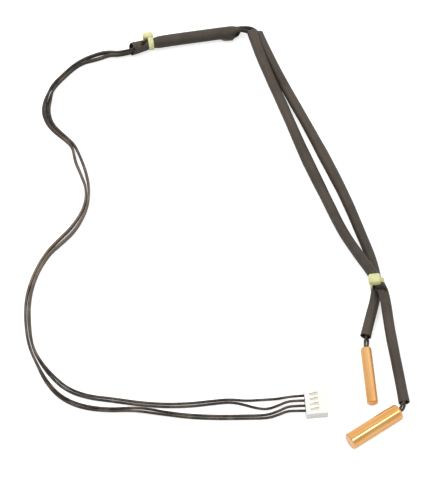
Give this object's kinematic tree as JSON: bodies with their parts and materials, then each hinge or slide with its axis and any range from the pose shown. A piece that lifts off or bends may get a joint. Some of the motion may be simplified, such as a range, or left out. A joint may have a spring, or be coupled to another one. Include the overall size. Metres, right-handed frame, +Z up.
{
  "type": "dual probe temperature sensor harness",
  "caption": "Wire harness that joins a crimp plug through sheathed, tied leads to a thick and a thin closed copper sensor capsule, each on bare leads that flex.",
  "frame": {"origin": "on the surface that the harness lies on, under the middle of the box of its sleeves, ties and capsules", "axes": "+Z up off the surface, +Y from the capsules towards the trunk sleeve, +X from the loose leads towards the branch sleeves"},
  "size_m": [0.1756, 0.232, 0.0142],
  "materials": {
    "lead_jacket": "satin black insulation",
    "sleeve_tubing": "matte dark grey-brown tubing",
    "tie_nylon": "pale yellowish nylon",
    "housing_nylon": "off-white moulded nylon",
    "contact_metal": "stamped",
    "copper": "bright drawn copper",
    "potting_resin": "cured resin",
    "bead_glass": "clear glass",
    "tinned_wire": "tinned",
    "splice_metal": "tinned crimp",
    "splice_insulation": "amber film tube"
  },
  "bodies": {
    "harness": {"connector_housing": "housing_nylon", "crimp_terminal_1": "contact_metal", "crimp_terminal_2": "contact_metal", "crimp_terminal_3": "contact_metal", "crimp_terminal_4": "contact_metal", "crossing_tie": "tie_nylon", "lead_1_free": "lead_jacket", "lead_1_neck": "lead_jacket", "lead_1_sheathed": "lead_jacket", "lead_2_free": "lead_jacket", "lead_2_neck": "lead_jacket", "lead_2_sheathed": "lead_jacket", "lead_3_free": "lead_jacket", "lead_3_neck": "lead_jacket", "lead_3_sheathed": "lead_jacket", "lead_4_free": "lead_jacket", "lead_4_neck": "lead_jacket", "lead_4_sheathed": "lead_jacket", "thick_branch_sleeve": "sleeve_tubing", "thin_branch_sleeve": "sleeve_tubing", "trunk_sleeve": "sleeve_tubing", "trunk_tie": "tie_nylon"},
    "thick_probe": {"thick_bead": "bead_glass", "thick_bead_leg_1": "tinned_wire", "thick_bead_leg_2": "tinned_wire", "thick_capsule": "copper", "thick_potting": "potting_resin", "thick_splice_1": "splice_metal", "thick_splice_2": "splice_metal", "thick_splice_sleeve_1": "splice_insulation", "thick_splice_sleeve_2": "splice_insulation", "lead_1_entry": "lead_jacket", "lead_2_entry": "lead_jacket"},
    "thin_probe": {"thin_bead": "bead_glass", "thin_bead_leg_1": "tinned_wire", "thin_bead_leg_2": "tinned_wire", "thin_capsule": "copper", "thin_potting": "potting_resin", "thin_splice_1": "splice_metal", "thin_splice_2": "splice_metal", "thin_splice_sleeve_1": "splice_insulation", "thin_splice_sleeve_2": "splice_insulation", "lead_3_entry": "lead_jacket", "lead_4_entry": "lead_jacket"}
  },
  "joints": [
    {"name": "thick_probe_swing", "type": "hinge", "parent": "harness", "child": "thick_probe", "pos_m": [0.06305, -0.09648, 0.00315], "axis": [0, 0, 1], "range_deg": [-15, 90]},
    {"name": "thin_probe_swing", "type": "hinge", "parent": "harness", "child": "thin_probe", "pos_m": [0.04617, -0.06205, 0.00248], "axis": [0, 0, 1], "range_deg": [-32, 10]}
  ]
}
